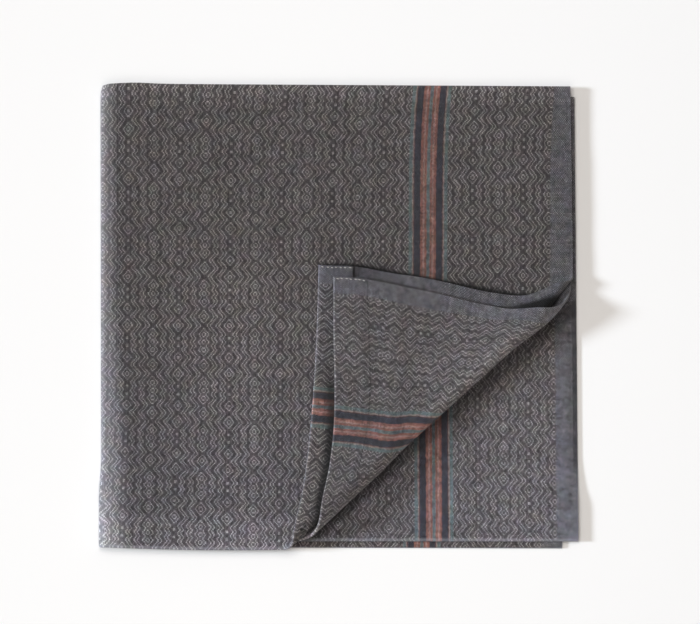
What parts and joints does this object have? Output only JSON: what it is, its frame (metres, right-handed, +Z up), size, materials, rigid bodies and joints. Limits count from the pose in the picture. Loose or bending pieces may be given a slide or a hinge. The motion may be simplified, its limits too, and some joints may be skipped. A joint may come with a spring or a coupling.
{
  "type": "folded dishcloth",
  "caption": "Handwoven cotton dishcloth with turned hems, folded twice into a flat stack, with the free corner of its upper layers turned back.",
  "frame": {"origin": "centre of the outline on the surface that the folded cloth lies on", "axes": "+Z up from the surface; +X along the hems, from the left fold to the selvedges; +Y along the selvedges, from the hems to the top fold"},
  "size_m": [0.2526, 0.2456, 0.0187],
  "materials": {
    "cloth": "soft dark grey cotton twill with thin lighter threads, a narrow rust, navy and teal stripe and a plain dark selvedge band"
  },
  "bodies": {
    "root": {"cloth": "cloth"}
  },
  "joints": []
}
